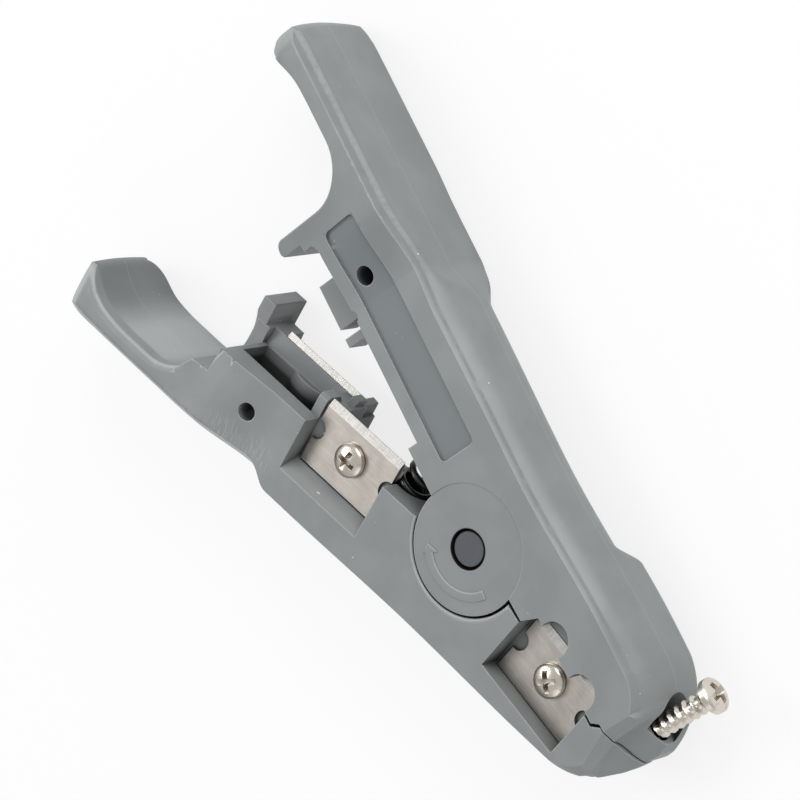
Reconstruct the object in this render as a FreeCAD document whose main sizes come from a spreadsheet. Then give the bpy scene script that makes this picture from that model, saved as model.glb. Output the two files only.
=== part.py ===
# Coaxial cable stripper: two moulded arms hinged like a clothes peg, three blades, a spring and an adjusting screw.
# Frame: origin on the pivot axis in the plane of the rear face, +Z out of the front face, +Y along the
# long arm towards its grip, +X to the long arm's outer side. Millimetres and degrees.
# The blade arm is drawn closed, as the mirror of the long arm, and is then swung open to its rest pose.

import FreeCAD, Part
import math
import os
import re

import Sketcher

Vector = FreeCAD.Vector

sizes = {
    # moulded envelope shared by both arms, measured from the closed tool's centre line
    "bodyThick": 15.0,
    "handleWide": 20.0,
    "waistHalf": 17.6,
    "waistAt": 6.0,
    "tailSwell": 1.6,
    "bladeSwell": 0.6,
    "tailReach": 31.0,
    "shoulderSwell": 0.3,
    "shoulderReach": 25.0,
    "handleHalf": 15.7,
    "crownLow": 33.0,
    "bladeCrownLow": 36.5,
    "crownHigh": 41.5,
    "frontLow": 41.0,
    "frontHigh": 53.0,
    "rearLow": 32.0,
    "rearHigh": 38.0,
    "rampLow": 54.0,
    "rampHigh": 63.0,
    "noseAt": -29.0,
    "noseWide": 14.5,
    "noseReach": 13.5,
    "rearNose": 0.3,
    "faceEnd": -35.0,
    "noseDeep": 6.8,
    "faceCorner": 9.2,
    "ridgeInset": 3.4,
    "shoulderInset": 0.5,
    "insetLow": 10.0,
    "insetHigh": 36.0,
    "rearInset": 4.2,
    "bladeInset": 0.7,
    "bladeRound": 1.4,
    "boxInset": 1.0,
    "boxRound": 2.2,
    "boxLow": -14.0,
    "boxHigh": -9.5,
    "handleInset": 1.1,
    "handleRound": 3.0,
    "rearRound": 2.0,
    "grooveDeep": 0.35,
    "grooveAt": 1.4,
    "grooveWide": 0.6,
    # grips
    "handleTop": 85.3,
    "bladeHandleTop": 87.0,
    "endRound": 3.2,
    "handleThick": 3.6,
    "tipRound": 4.5,
    "lipRound": 2.0,
    "hookRound": 14.0,
    "hookTurn": 30.0,
    "gripLow": 66.0,
    "scoopRound": 8.2,
    # fork, tongue and pin
    "cheekThick": 3.3,
    "layerGap": 0.15,
    "discRound": 10.4,
    "discSunk": 0.15,
    "discGap": 0.35,
    "tongueRound": 9.5,
    "tongueGap": 0.5,
    "pinRound": 3.2,
    "pinGap": 0.05,
    "pinSunk": 0.3,
    "pinChamfer": 0.45,
    "openAngle": 24.1,
    # long arm, inner edge
    "armFace": 0.4,
    "shoulderFace": 1.6,
    "shoulderTop": 18.5,
    "finReach": 6.8,
    "finRound": 1.9,
    "finLow": 55.4,
    "finStep": 2.3,
    "stepHeight": 1.3,
    "finRoot": 52.8,
    "finBack": 6.0,
    "panelLeft": 3.0,
    "panelWide": 7.1,
    "panelLow": 13.5,
    "panelLong": 40.8,
    "panelDeep": 0.5,
    "panelCorner": 1.0,
    "panelHole": 1.6,
    "panelHoleX": 5.6,
    "panelHoleY": 45.3,
    "blockFront": 11.2,
    "blockDeep": 4.3,
    "blockReach": 5.9,
    "blockLong": 7.8,
    "tabLong": 1.5,
    "nickRound": 1.1,
    # long arm, tail
    "slitX": 3.0,
    "slitY": -13.9,
    "cheekX": 6.2,
    "cheekTop": -15.0,
    "cheekLow": -32.9,
    "tailFace": 7.6,
    "tailGap": 0.2,
    "notchRound": 2.8,
    "notchX": 6.9,
    "notchHigh": -19.0,
    "notchLow": -28.0,
    "hollowX": 13.0,
    "hollowTop": -12.0,
    "hollowLow": -24.5,
    "bladeSlot": 11.5,
    # blade arm
    "carrierFace": 0.2,
    "channelFace": 2.0,
    "bladeRoom": 0.6,
    "railFace": 2.65,
    "wallDeep": 3.4,
    "underReach": 5.2,
    "pocketOuter": 12.0,
    "pocketBack": 5.0,
    "postThick": 1.8,
    "postReach": 1.3,
    "rearPostThick": 1.5,
    "recessRamp": 1.9,
    "finSlotGap": 0.3,
    "railHole": 1.5,
    "railHoleX": -8.4,
    "railHoleY": 45.8,
    "bossRound": 3.6,
    "bossHigh": 1.4,
    "barLow": 56.1,
    "barThick": 2.7,
    "barReach": 4.0,
    "barFront": 5.6,
    "barGap": 0.4,
    # blades and their screws
    "bladeLong": 16.6,
    "bladeWide": 11.8,
    "bladeThick": 0.6,
    "bevelWide": 1.3,
    "bevelDeep": 0.5,
    "bladeNotch": 1.75,
    "bladeHole": 1.5,
    "frontEdge": 1.7,
    "frontMiddle": 27.1,
    "rearEdge": 1.2,
    "rearMiddle": 44.2,
    "tailMiddleX": -8.9,
    "tailMiddleY": -21.9,
    "tailTilt": 10.1,
    "seatGap": 0.15,
    "headRound": 2.75,
    "headHigh": 1.5,
    "shankRound": 1.2,
    "shankGap": 0.05,
    "shankLong": 5.0,
    "rearShank": 1.9,
    # spring
    "wireRound": 0.55,
    "coilRound": 2.85,
    "coilTurns": 7.0,
    "springGap": 0.35,
    "springSeatX": 3.0,
    "springSeatY": 15.2,
    "springEndX": -6.3,
    "springEndY": 19.0,
    # adjusting screw
    "screwY": -37.9,
    "screwRound": 2.0,
    "screwGap": 0.05,
    "screwTip": 0.1,
    "screwLong": 15.3,
    "screwHead": 2.9,
    "screwHeadHigh": 2.0,
    "wellRound": 3.25,
    "wellFloor": 12.0,
}

# places that follow from the sizes above: what stands beside a blade moves with the blade's end
following = {
    "recessLow": "=frontMiddle - bladeLong / 2 - bladeRoom",
    "postLow": "=frontMiddle + bladeLong / 2 + bladeRoom",
    "rearPostLow": "=rearMiddle - bladeLong / 2 - 0.2 - rearPostThick",
    "pocketTop": "=rearMiddle + bladeLong / 2 + 1.7",
    "tabLow": "=postLow + postThick + 0.5",
    "blockLow": "=tabLow + tabLong + 1.7",
}

doc = FreeCAD.newDocument("CableStripper")
sheet = doc.addObject("Spreadsheet::Sheet", "Sizes")
for row, (alias, number) in enumerate({**sizes, **following}.items(), start=1):
    sheet.set("A%d" % row, alias)
    sheet.set("B%d" % row, str(number))
    sheet.setAlias("B%d" % row, alias)
doc.recompute()

aliasWord = re.compile(r"(?<![\w.])(" + "|".join(sorted([*sizes, *following], key=len, reverse=True)) + r")(?!\w)")


def ref(text):
    # an expression written with bare aliases, as the sheet's cells are named from outside it
    return aliasWord.sub(r"Sizes.\1", str(text))


def size(text):
    value = sheet.evalExpression(ref(text))
    return float(getattr(value, "Value", value))


def bind(item, **links):
    for name, text in links.items():
        item.setExpression(name.replace("_", "."), ref(text))
    return item


def box(name, x0, x1, y0, y1, z0, z1):
    block = doc.addObject("Part::Box", name)
    bind(block, Length="(%s) - (%s)" % (x1, x0), Width="(%s) - (%s)" % (y1, y0), Height="(%s) - (%s)" % (z1, z0))
    return bind(block, Placement_Base_x=x0, Placement_Base_y=y0, Placement_Base_z=z0)


def rod(name, radius, x, y, z0, z1):
    # round bar along Z
    bar = doc.addObject("Part::Cylinder", name)
    bind(bar, Radius=radius, Height="(%s) - (%s)" % (z1, z0))
    return bind(bar, Placement_Base_x=x, Placement_Base_y=y, Placement_Base_z=z0)


def crossRod(name, radius, x, y, z, length, turn=0):
    # round bar along +X, turned about Z
    bar = doc.addObject("Part::Cylinder", name)
    lie = FreeCAD.Rotation(Vector(0, 1, 0), 90)
    bar.Placement = FreeCAD.Placement(Vector(), FreeCAD.Rotation(Vector(0, 0, 1), turn).multiply(lie))
    bind(bar, Radius=radius, Height=length)
    return bind(bar, Placement_Base_x=x, Placement_Base_y=y, Placement_Base_z=z)


def trace(drawing, steps):
    # closed outline in a sketch; a step is (x, y) for a line to that corner or (x, y, radius) for an arc to it,
    # and an arc whose radius starts with a minus sign turns clockwise
    corners = [Vector(size(step[0]), size(step[1]), 0) for step in steps]
    ends = []
    for index, step in enumerate(steps):
        start = corners[index - 1]
        end = corners[index]
        if len(step) == 2:
            drawing.addGeometry(Part.LineSegment(start, end), False)
            ends.append((1, 2))
            continue
        clockwise = step[2].startswith("-")
        radius = size(step[2].lstrip("-"))
        chord = end - start
        side = Vector(-chord.y, chord.x, 0).normalize()
        if clockwise:
            side = side * -1
        lift = math.sqrt(max(radius ** 2 - chord.Length ** 2 / 4, 0))
        centre = (start + end) * 0.5 + side * lift
        angles = [math.atan2(point.y - centre.y, point.x - centre.x) for point in (start, end)]
        if clockwise:
            angles.reverse()
        if angles[1] < angles[0]:
            angles[1] += 2 * math.pi
        circle = Part.Circle(centre, Vector(0, 0, 1), radius)
        drawing.addGeometry(Part.ArcOfCircle(circle, angles[0], angles[1]), False)
        ends.append((2, 1) if clockwise else (1, 2))
    for index, step in enumerate(steps):
        following = (index + 1) % len(steps)
        last = ends[index][1]
        drawing.addConstraint(Sketcher.Constraint("Coincident", index, last, following, ends[following][0]))
        for kind, text in zip(("DistanceX", "DistanceY"), step):
            number = drawing.addConstraint(Sketcher.Constraint(kind, -1, 1, index, last, size(text)))
            drawing.setExpression("Constraints[%d]" % number, ref(text))
        if len(step) == 3:
            radius = step[2].lstrip("-")
            number = drawing.addConstraint(Sketcher.Constraint("Radius", index, size(radius)))
            drawing.setExpression("Constraints[%d]" % number, ref(radius))
    return drawing


def outline(name, steps):
    return trace(doc.addObject("Sketcher::SketchObject", name), steps)


def mirrored(steps):
    # the same outline on the other side of the centre line
    turned = []
    for step in steps:
        flipped = ["-(%s)" % step[0], step[1]]
        if len(step) == 3:
            flipped.append(step[2][1:] if step[2].startswith("-") else "-" + step[2])
        turned.append(tuple(flipped))
    return turned


def extrude(name, drawing, length):
    prism = doc.addObject("Part::Extrusion", name)
    prism.Base = drawing
    prism.DirMode = "Normal"
    prism.Solid = True
    return bind(prism, LengthFwd=length)


def plate(name, steps, z0, z1):
    # outline in XY carried from z0 to z1
    drawing = outline(name + "Outline", steps)
    bind(drawing, Placement_Base_z=z0)
    return extrude(name, drawing, "(%s) - (%s)" % (z1, z0))


def bar(name, steps, y0, y1):
    # section in XZ carried from y0 to y1
    drawing = outline(name + "Section", steps)
    drawing.Placement = FreeCAD.Placement(Vector(), FreeCAD.Rotation(Vector(1, 0, 0), 90))
    bind(drawing, Placement_Base_y=y1)
    return extrude(name, drawing, "(%s) - (%s)" % (y1, y0))


def join(kind, name, parts):
    result = doc.addObject("Part::" + kind, name)
    result.Shapes = parts
    return result


def cut(name, base, tool):
    result = doc.addObject("Part::Cut", name)
    result.Base = base
    result.Tool = tool
    return result


def smooth(low, high, at):
    # eased step from 0 at low to 1 at high
    share = min(1.0, max(0.0, (at - low) / (high - low)))
    return share * share * (3 - 2 * share)


# moulded envelope: one D-shaped section after another along Y
middle = size("bodyThick / 2")


def crownAt(y, side):
    tail = size("tailSwell") if side > 0 else size("bladeSwell")
    if y < size("noseAt"):
        share = min(1.0, (size("noseAt") - y) / size("noseReach"))
        return size("waistHalf") + tail - size("noseWide") * (1 - math.sqrt(1 - share ** 2))
    if y < size("waistAt"):
        swell, reach = tail, size("tailReach")
    else:
        swell, reach = size("shoulderSwell"), size("shoulderReach")
    share = min(1.0, abs(y - size("waistAt")) / reach)
    body = size("waistHalf") + swell * (1 - math.cos(math.pi * share)) / 2
    ease = smooth(size("crownLow" if side > 0 else "bladeCrownLow"), size("crownHigh"), y)
    return body + ease * (size("handleHalf") - body)


def boxedAt(y, side):
    # 1 where the rear half of the long arm's tail has a square corner
    return 1 - smooth(size("boxLow"), size("boxHigh"), y) if side > 0 else 0


def insetAt(y, side, rear):
    if side < 0:
        return size("ridgeInset") if rear else size("bladeInset")
    if rear:
        return size("rearInset") + boxedAt(y, side) * size("boxInset - rearInset")
    return size("ridgeInset") + size("shoulderInset") * smooth(size("insetLow"), size("insetHigh"), y)


def ridgeAt(y, side, rear):
    inset = insetAt(y, side, rear)
    if y < size("noseAt"):
        share = min(1.0, (size("noseAt") - y) / size("faceCorner"))
        face = crownAt(size("noseAt"), side) - inset
        return face - (size("noseWide") - inset) * (1 - math.sqrt(1 - share ** 2))
    ease = smooth(size("crownLow" if side > 0 else "bladeCrownLow"), size("crownHigh"), y)
    return crownAt(y, side) - inset - ease * (size("handleInset") - inset)


def halfAt(y, rear):
    half = size("bodyThick / 2")
    if y < size("faceEnd"):
        share = min(1.0, (size("faceEnd") - y) / size("noseDeep"))
        drop = half * 2 / math.pi * math.asin(share)
        return half - drop * (size("rearNose") if rear else 1)
    return half


def quarter(y, side, rear):
    # half of a section, from its flat face round to the middle of the tool's thickness
    wider = size("(handleWide - bodyThick) / 2")
    low, high = ("rearLow", "rearHigh") if rear else ("frontLow", "frontHigh")
    half = halfAt(y, rear) + wider * smooth(size(low), size(high), y)
    crown, ridge = crownAt(y, side), ridgeAt(y, side, rear)
    ease = smooth(size("crownLow" if side > 0 else "bladeCrownLow"), size("crownHigh"), y)
    roundDeep = half + ease * (size("rearRound" if rear else "handleRound") - half)
    if rear:
        roundDeep -= boxedAt(y, side) * max(0, roundDeep - size("boxRound"))
    elif side < 0:
        roundDeep = min(roundDeep, size("bladeRound"))
    groove = size("grooveDeep") if side > 0 and not rear else 0
    points = []
    for share in shares:
        deep = share * half
        x = ridge + (crown - ridge) * math.sin(math.pi / 2 * min(1.0, deep / roundDeep))
        x -= groove * math.exp(-((deep - size("grooveAt")) / size("grooveWide")) ** 2)
        points.append((x, half - deep))
    return points


shares = (0, 0.05, 0.1, 0.16, 0.24, 0.34, 0.48, 0.7, 1)


def section(y, side, inner):
    innerHalf = halfAt(y, False) + size("(handleWide - bodyThick) / 2") * smooth(size("rampLow"), size("rampHigh"), y)
    innerRear = halfAt(y, True) + innerHalf - halfAt(y, False)
    points = quarter(y, side, False)
    points += [(x, -z) for x, z in reversed(quarter(y, side, True)[:-1])]
    knots = list(shares) + [2 - share for share in reversed(shares[:-1])]
    curve = Part.BSplineCurve()
    curve.interpolate(Points=[Vector(side * x, y, middle + z) for x, z in points], Parameters=knots)
    front = Vector(-side * inner, y, middle + innerHalf)
    rear = Vector(-side * inner, y, middle - innerRear)
    return Part.Wire([Part.makeLine(front, curve.StartPoint), curve.toShape(),
                      Part.makeLine(curve.EndPoint, rear), Part.makeLine(rear, front)])


def span(low, high, count):
    return [low + (high - low) * step / count for step in range(count + 1)]


def envelope(name, side):
    inner = size("finReach + 1.2")
    stops = [("faceEnd", 0), ("noseAt", 4), ("boxLow", 4), ("boxHigh", 4), ("rearLow", 6), ("crownHigh", 8),
             ("rampHigh", 8), ("bladeHandleTop + 0.6", 2)]
    runs = [[size("faceEnd") - size("noseDeep") * math.sin(angle) for angle in span(1.28, 0, 5)]]
    for (start, _), (end, count) in zip(stops, stops[1:]):
        runs.append(span(size(start), size(end), count))
    solid = None
    for stations in runs:
        piece = Part.makeLoft([section(y, side, inner) for y in stations], True, False)
        solid = piece if solid is None else solid.fuse(piece)
    skin = doc.addObject("Part::Feature", name)
    skin.Shape = solid
    return skin


# heights of the three layers: front cheek, middle, rear cheek
above = "handleWide"
below = "-handleWide / 2"
cheekBack = "bodyThick - cheekThick"
outside = "handleHalf + 10"
inner = "handleHalf - handleThick"
half = "bodyThick / 2"

scoopX = "%s - scoopRound" % inner


def grip(top):
    # from the outer top corner down the finger scoop
    return [
        (outside, top + " - endRound"),
        ("handleHalf + 0.3", top + " - endRound"),
        ("handleHalf + 0.3 - endRound", top, "endRound"),
        ("%s - hookRound * (1 - cos(hookTurn)) + lipRound * cos(hookTurn)" % inner, top),
        ("%s - hookRound * (1 - cos(hookTurn))" % inner, top + " - lipRound * (1 + sin(hookTurn))", "lipRound"),
        (inner, top + " - lipRound - (hookRound + lipRound) * sin(hookTurn)", "-hookRound"),
        (inner, "gripLow"),
        (scoopX, "gripLow - scoopRound", "-scoopRound"),
    ]


def moulding(name, side, steps, top):
    # envelope held to the arm's outline, with the corners of the grip's end rounded off
    skin = envelope(name + "Envelope", side)
    shape = plate(name + "Plan", steps, below, above)
    block = box(name + "Block", "-(%s)" % outside, outside, "faceEnd - noseDeep * 2", top,
                "(bodyThick - handleWide) / 2", "(bodyThick + handleWide) / 2")
    doc.recompute()
    tips = []
    for number, edge in enumerate(block.Shape.Edges, start=1):
        ends = [vertex.Point for vertex in edge.Vertexes]
        if all(abs(point.y - size(top)) < 1e-6 for point in ends) and abs(ends[0].x - ends[1].x) > 1:
            tips.append((number, size("tipRound"), size("tipRound")))
    rounded = doc.addObject("Part::Fillet", name + "Rounded")
    rounded.Base = block
    rounded.Edges = tips
    return skin, join("MultiCommon", name + "Blank", [skin, shape, rounded])


# long arm: fork with the two discs, fin, panel, blocks and tail notches
armPlan = grip("handleTop") + [
    ("-(finReach - finRound * 1.2)", "gripLow - scoopRound"),
    ("-finReach", "gripLow - scoopRound - finRound", "finRound * 1.05"),
    ("-finReach + 0.3", "finLow"),
    ("-finStep", "finLow"),
    ("-finStep", "finLow - stepHeight"),
    ("-finStep * 0.15", "finLow - stepHeight"),
    ("armFace", "finRoot"),
    ("armFace", "shoulderTop"),
    ("-shoulderFace", "shoulderTop"),
    ("-shoulderFace", "sqrt(discRound ^ 2 - shoulderFace ^ 2)"),
    ("-discRound", "0", "discRound"),
    ("slitX - 0.2", "-sqrt(discRound ^ 2 - (slitX - 0.2) ^ 2)", "discRound"),
    ("slitX", "slitY"),
    ("cheekX", "cheekTop"),
    ("cheekX", "cheekLow"),
    ("tailFace", "cheekLow - 0.9"),
    ("tailFace", "faceEnd - noseDeep * 2"),
    (outside, "faceEnd - noseDeep * 2"),
]
armSkin, armBlank = moulding("LongArm", 1, armPlan, "handleTop")

blockBack = "blockFront - blockDeep"
armBody = join("MultiFuse", "LongArmBody", [
    armBlank,
    box("UpperBlock", "-blockReach", "armFace + 2", "blockLow", "blockLow + blockLong", blockBack, "blockFront"),
    box("LowerBlock", "-blockReach", "armFace + 2", "tabLow", "tabLow + tabLong", blockBack, "blockFront"),
])

panelRight = "panelLeft + panelWide"
panelHigh = "panelLow + panelLong"
panelOutline = [
    ("panelLeft + panelCorner", "panelHigh"),
    ("panelLeft", "panelHigh - panelCorner", "panelCorner"),
    ("panelLeft", "panelLow + panelCorner"),
    ("panelLeft + panelCorner", "panelLow", "panelCorner"),
    ("panelRight - panelCorner", "panelLow"),
    ("panelRight", "panelLow + panelCorner", "panelCorner"),
    ("panelRight", "panelHigh - panelCorner"),
    ("panelRight - panelCorner", "panelHigh", "panelCorner"),
]
panelOutline = [tuple(text.replace("panelRight", panelRight).replace("panelHigh", panelHigh) for text in step)
                for step in panelOutline]
panelFloor = doc.addObject("Part::Feature", "PanelFloor")
panelFloor.Shape = armSkin.Shape.copy()
bind(panelFloor, Placement_Base_z="-panelDeep")
panel = cut("Panel", plate("PanelPrism", panelOutline, half, above), panelFloor)

frontFloor = "bodyThick - wallDeep - bladeThick"
rearFloor = "cheekThick + bladeThick"
armCuts = join("MultiFuse", "LongArmCuts", [
    panel,
    rod("PanelHole", "panelHole", "panelHoleX", "panelHoleY", below, above),
    box("FinBack", "-(%s)" % outside, "armFace", "finRoot - 4", "gripLow", below, "finBack"),
    box("BarNotch", "-finReach", "barReach + barGap * 2", "barLow - barGap * 4", "barLow + barThick + barGap",
        below, "finBack"),
    box("FrontBladeSlot", "-finReach", "frontEdge + barGap * 3", "frontMiddle - bladeLong / 2 - 1.2",
        "frontMiddle + bladeLong / 2 + 1.2", frontFloor + " - 0.4", frontFloor + " + bladeThick + 0.1"),
    box("RearBladeSlot", "-finReach", "rearEdge + barGap * 4", "rearMiddle - bladeLong / 2 - 1.2",
        "rearMiddle + bladeLong / 2 + 1.2", rearFloor + " - bladeThick - 0.7", rearFloor + " + 0.5"),
    box("PostNotch", "-finReach", "postReach + barGap", "postLow - barGap", "postLow + postThick + barGap",
        "blockFront - blockDeep + 0.7", frontFloor + " + bladeThick + 0.1"),
    box("RearPostNotch", "-finReach", "postReach + barGap", "rearPostLow - barGap", "rearPostLow + rearPostThick + barGap",
        rearFloor + " - bladeThick - 0.7", half),
    rod("Nick", "nickRound", "armFace - 0.5", "tabLow + tabLong + nickRound", blockBack + " - 1", above),
    crossRod("SpringSeat", "coilRound + wireRound + springGap", "springSeatX - 8", "springSeatY", half, "8"),
    rod("TongueRoom", "tongueRound + tongueGap", "0", "0", "cheekThick", cheekBack),
    box("ForkRoom", "-(%s)" % outside, "armFace", "-shoulderTop", "shoulderTop + 1",
        "cheekThick", cheekBack),
    box("TailRoom", "-(%s)" % outside, "tailFace", "faceEnd - noseDeep * 2",
        "-sqrt((tongueRound + tongueGap) ^ 2 - tailFace ^ 2)", "cheekThick", cheekBack),
    box("TailHollow", "tailFace - 1", "hollowX", "hollowLow", "hollowTop", "cheekThick", cheekBack),
    box("TailBladeSlot", "0", "bladeSlot", "cheekLow - 0.5", "hollowTop", frontFloor + " - 0.3",
        frontFloor + " + bladeThick + 0.15"),
    rod("DiscFace", "discRound", "0", "0", "bodyThick - discSunk", above),
    rod("ArmBore", "pinRound + pinGap", "0", "0", below, above),
    rod("UpperNotch", "notchRound", "notchX", "notchHigh", below, above),
    rod("LowerNotch", "notchRound", "notchX", "notchLow", below, above),
    crossRod("ScrewBore", "screwRound + screwGap", "0", "screwY", half, outside),
    crossRod("ScrewWell", "wellRound", "wellFloor", "screwY", half, outside),
])
longArm = cut("LongArm", armBody, armCuts)
longArm.Label = "long_arm"


# the blade arm's rest pose is its closed pose swung open about the pivot
def opened(x, y):
    return "(%s) * cos(openAngle) - (%s) * sin(openAngle)" % (x, y), "(%s) * sin(openAngle) + (%s) * cos(openAngle)" % (x, y)


def closed(x, y):
    return "(%s) * cos(openAngle) + (%s) * sin(openAngle)" % (x, y), "(%s) * cos(openAngle) - (%s) * sin(openAngle)" % (y, x)


tailEnd = "faceEnd - noseDeep * 2"
tailEdge = "tailFace - tailGap"
bladePlan = mirrored(grip("bladeHandleTop")) + [
    ("carrierFace", "gripLow - scoopRound"),
    ("carrierFace", "recessLow"),
    ("-channelFace", "recessLow"),
    ("-channelFace", "sqrt(tongueRound ^ 2 - channelFace ^ 2)"),
    ("tongueRound", "0", "-tongueRound"),
    closed("slitX - 1", "-sqrt(tongueRound ^ 2 - (slitX - 1) ^ 2)") + ("-tongueRound",),
    closed(tailEdge, "cheekTop"),
    closed(tailEdge, tailEnd),
    ("-(%s)" % outside, tailEnd),
]
bladeSkin, bladeBlank = moulding("BladeArm", -1, bladePlan, "bladeHandleTop")

bladeTop = frontFloor + " + bladeThick"
layerFront = cheekBack + " - layerGap"
layerRear = "cheekThick + layerGap"
frontX = "frontEdge - bladeWide / 2"
rearX = "rearEdge - bladeWide / 2"
railTop = "finLow - finSlotGap"
postHigh = "postLow + postThick"
rearPostHigh = "rearPostLow + rearPostThick"

frontWall = "%s - bladeWide / 2 - seatGap" % frontX
frontRecess = bar("FrontRecess", [
    (outside, frontFloor),
    (outside, "bodyThick + wallDeep + bladeThick"),
    (frontWall + " - recessRamp * 2", "bodyThick + wallDeep + bladeThick"),
    (frontWall, frontFloor),
], "recessLow", "postLow")

rearWall = "%s - bladeWide / 2 - seatGap" % rearX
rearRecess = bar("RearRecess", [
    (outside, rearFloor),
    (outside, below),
    (rearWall + " - recessRamp", below),
    (rearWall, rearFloor),
], rearPostHigh, "rearMiddle + bladeLong / 2 + seatGap * 2")

dome = doc.addObject("Part::Sphere", "Dome")
domeRound = "(bossRound ^ 2 + bossHigh ^ 2) / (2 * bossHigh)"
bind(dome, Radius=domeRound, Placement_Base_x=rearX, Placement_Base_y="rearMiddle",
     Placement_Base_z="pocketBack + bossHigh - " + domeRound)
pocket = cut("Pocket", box("PocketRoom", "-pocketOuter", outside, postHigh, "pocketTop", "pocketBack", bladeTop), dome)

wallSlant = bar("WallSlant", [
    (outside, bladeTop),
    ("-railFace", bladeTop),
    ("-railFace", "pocketBack - 0.3"),
    ("carrierFace + 0.3", rearFloor),
    (outside, rearFloor),
], postHigh, railTop)

underSlant = bar("UnderSlant", [
    (outside, frontFloor + " - 1.1"),
    ("carrierFace + 0.3", frontFloor + " - 1.1"),
    ("carrierFace + 0.3 - underReach", "0"),
    ("carrierFace + 0.3 - underReach", below),
    (outside, below),
], "recessLow + 0.5", "rearPostLow - 0.6")


def tailRelief(name, z0, z1):
    # room for the long arm's cheek beside the tail
    steps = [
        closed("slitX - 0.9", "-(tongueRound + tongueGap)"),
        closed("slitX - 0.4", "slitY - 0.4"),
        closed("cheekX - 0.4", "cheekTop - 0.3"),
        closed("cheekX - 0.4", "cheekLow - 0.4"),
        closed(tailEdge, "cheekLow - 1.4"),
        closed(outside, "cheekLow - 1.4"),
        closed(outside, "-(tongueRound + tongueGap)"),
    ]
    return plate(name, steps, z0, z1)


tailRecess = box("TailRecess", "0", "0", "0", "0", "0", "0")
bind(tailRecess, Length="bladeWide * 2", Width="bladeLong + seatGap * 8", Height="wallDeep + bladeThick + 1")
tailLie = FreeCAD.Rotation(Vector(0, 0, 1), -size("tailTilt"))
tailLeft = "bladeWide / 2 + seatGap"
tailDown = "bladeLong / 2 + seatGap * 3"
tailRecess.Placement = FreeCAD.Placement(Vector(), tailLie)
bind(tailRecess, Placement_Base_x="tailMiddleX - (%s) * cos(tailTilt) - (%s) * sin(tailTilt)" % (tailLeft, tailDown),
     Placement_Base_y="tailMiddleY + (%s) * sin(tailTilt) - (%s) * cos(tailTilt)" % (tailLeft, tailDown),
     Placement_Base_z=frontFloor)

# the spring lies between a pocket in the blade arm and a seat in the long arm
springEnd = [size(text) for text in opened("springEndX", "springEndY")]
springRun = Vector(size("springSeatX") - springEnd[0], size("springSeatY") - springEnd[1], 0)
springTurn = math.degrees(math.atan2(springRun.y, springRun.x))

bladeCuts = join("MultiFuse", "BladeArmCuts", [
    frontRecess,
    rearRecess,
    pocket,
    wallSlant,
    underSlant,
    box("RailRoom", "-railFace", outside, "postLow", railTop, bladeTop, above),
    box("FinSlot", "-(finReach + finSlotGap)", outside, railTop, "gripLow", "finBack - finSlotGap", above),
    box("RearRelief", "-channelFace", outside, "0", "rearPostLow", below, layerRear),
    rod("FrontDiscPocket", "discRound + discGap", "0", "0", layerFront, above),
    rod("RearDiscPocket", "discRound + discGap", "0", "0", below, layerRear),
    tailRelief("FrontTailRelief", frontFloor, above),
    tailRelief("RearTailRelief", below, layerRear),
    tailRecess,
    crossRod("SpringPocket", "coilRound + wireRound + springGap", "springEndX", "springEndY", half, "waistHalf",
             springTurn - size("openAngle")),
    rod("FrontScrewHole", "shankRound + shankGap", frontX, "frontMiddle", frontFloor + " - shankLong", above),
    rod("RearScrewHole", "shankRound + shankGap", rearX, "rearMiddle", below, rearFloor + " + rearShank + shankGap * 2"),
    rod("TailScrewHole", "shankRound + shankGap", "tailMiddleX", "tailMiddleY", frontFloor + " - shankLong", above),
    rod("RailHole", "railHole", "railHoleX", "railHoleY", half, above),
    rod("TongueBore", "pinRound + pinGap", "0", "0", below, above),
])
bladeBody = cut("BladeArmBody", bladeBlank, bladeCuts)

post = bar("Post", [
    ("-railFace", half),
    ("carrierFace", half),
    ("postReach", half + " + 1"),
    ("postReach", bladeTop + " - 0.7"),
    ("postReach - 0.6", bladeTop),
    ("-railFace", bladeTop),
], "postLow", postHigh)
rearPost = bar("RearPost", [
    ("-channelFace - 0.2", layerRear),
    ("postReach", layerRear),
    ("postReach", half + " - 2"),
    ("carrierFace - 0.2", half + " - 1"),
    ("-channelFace - 0.2", half + " - 1"),
], "rearPostLow", rearPostHigh)
barHigh = "barLow + barThick"
stopBar = plate("StopBar", [
    ("-(finReach)", "barLow"),
    ("barReach", "barLow"),
    ("barReach", barHigh),
    ("barReach - barThick", barHigh),
    ("-(%s)" % scoopX, "gripLow - scoopRound", "-(barReach - barThick + %s) * 2" % scoopX),
    ("-(finReach)", "gripLow - scoopRound"),
], "(bodyThick - handleWide) / 2", "barFront")
bladeArm = join("MultiFuse", "BladeArm", [bladeBody, post, rearPost, stopBar])
bladeArm.Label = "blade_arm"
bind(bladeArm, Placement_Rotation_Angle="openAngle")


# small pieces
def startBody(label, steps, plane="XZ_Plane"):
    body = doc.addObject("PartDesign::Body", "".join(word.capitalize() for word in label.split("_")))
    body.Label = label
    drawing = bodySketch(body, plane)
    trace(drawing, steps)
    return body, drawing


def bodySketch(body, role):
    drawing = body.newObject("Sketcher::SketchObject", body.Name + "Sketch")
    support = [item for item in body.Origin.OriginFeatures if item.Role == role][0]
    drawing.AttachmentSupport = (support, [""])
    drawing.MapMode = "FlatFace"
    return drawing


def circle(drawing, x, y, radius):
    number = drawing.addGeometry(Part.Circle(Vector(size(x), size(y), 0), Vector(0, 0, 1), size(radius)), False)
    for kind, text in (("DistanceX", x), ("DistanceY", y)):
        count = drawing.addConstraint(Sketcher.Constraint(kind, -1, 1, number, 3, size(text)))
        drawing.setExpression("Constraints[%d]" % count, ref(text))
    count = drawing.addConstraint(Sketcher.Constraint("Radius", number, size(radius)))
    drawing.setExpression("Constraints[%d]" % count, ref(radius))


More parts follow.
